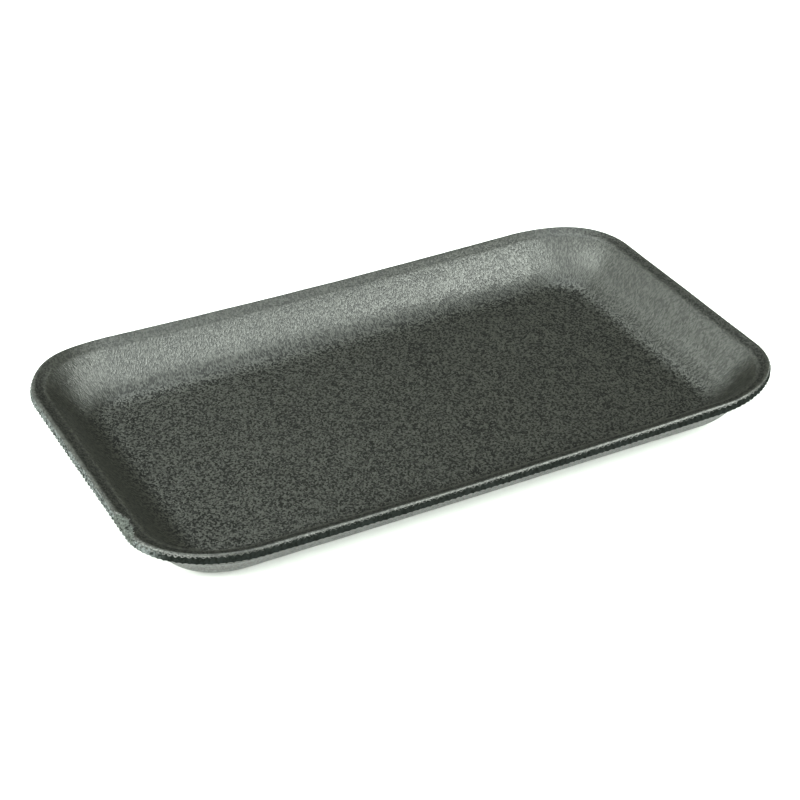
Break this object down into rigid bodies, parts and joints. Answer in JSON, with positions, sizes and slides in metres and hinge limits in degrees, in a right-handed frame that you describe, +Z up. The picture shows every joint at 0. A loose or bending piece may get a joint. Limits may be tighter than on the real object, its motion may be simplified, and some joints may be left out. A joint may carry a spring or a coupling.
{
  "type": "foam tray",
  "caption": "Shallow rectangular foam tray with rounded corners, sloping walls, a thin raised lip and a fluted cut edge, for holding prepared food.",
  "frame": {"origin": "on the surface that the tray stands on, under the middle of the tray", "axes": "+Z up out of the tray, X along its length, -Y towards the side that faces the viewer in the picture"},
  "size_m": [0.21, 0.121, 0.019],
  "materials": {
    "black_foam": "black pressed foam sheet with a fine mottled grain and a soft satin sheen"
  },
  "bodies": {
    "root": {"foam_tray": "black_foam"}
  },
  "joints": []
}
